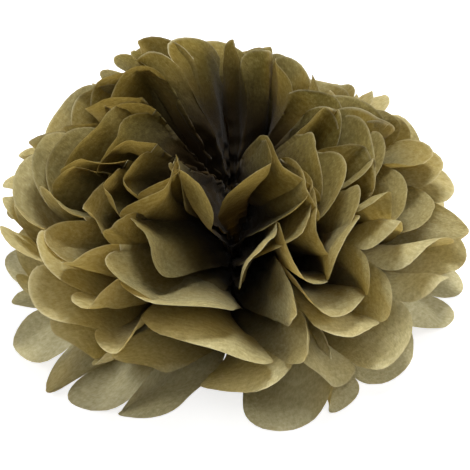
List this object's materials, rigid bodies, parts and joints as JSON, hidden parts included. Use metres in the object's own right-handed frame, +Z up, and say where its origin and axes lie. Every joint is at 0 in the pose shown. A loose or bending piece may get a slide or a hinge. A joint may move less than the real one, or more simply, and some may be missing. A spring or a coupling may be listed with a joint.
{
  "type": "tissue paper flower",
  "caption": "Half-round decorative flower of stacked tissue sheets, pleated together, cut round at the ends, tied at the middle with wire and fanned out into a dome of lobed petals.",
  "frame": {"origin": "on the table, under the middle of the flower's outline", "axes": "+Z up through the top of the dome, X along the folded strip that the two fans open from, Y across it, where the two fans meet and the wire's ends come out"},
  "size_m": [0.2562, 0.2518, 0.1209],
  "materials": {
    "tissue": "matte",
    "wire": "satin"
  },
  "bodies": {
    "root": {"tissue_sheet_01": "tissue", "tissue_sheet_02": "tissue", "tissue_sheet_03": "tissue", "tissue_sheet_04": "tissue", "tissue_sheet_05": "tissue", "tissue_sheet_06": "tissue", "tissue_sheet_07": "tissue", "tissue_sheet_08": "tissue", "wire_tie": "wire"}
  },
  "joints": []
}
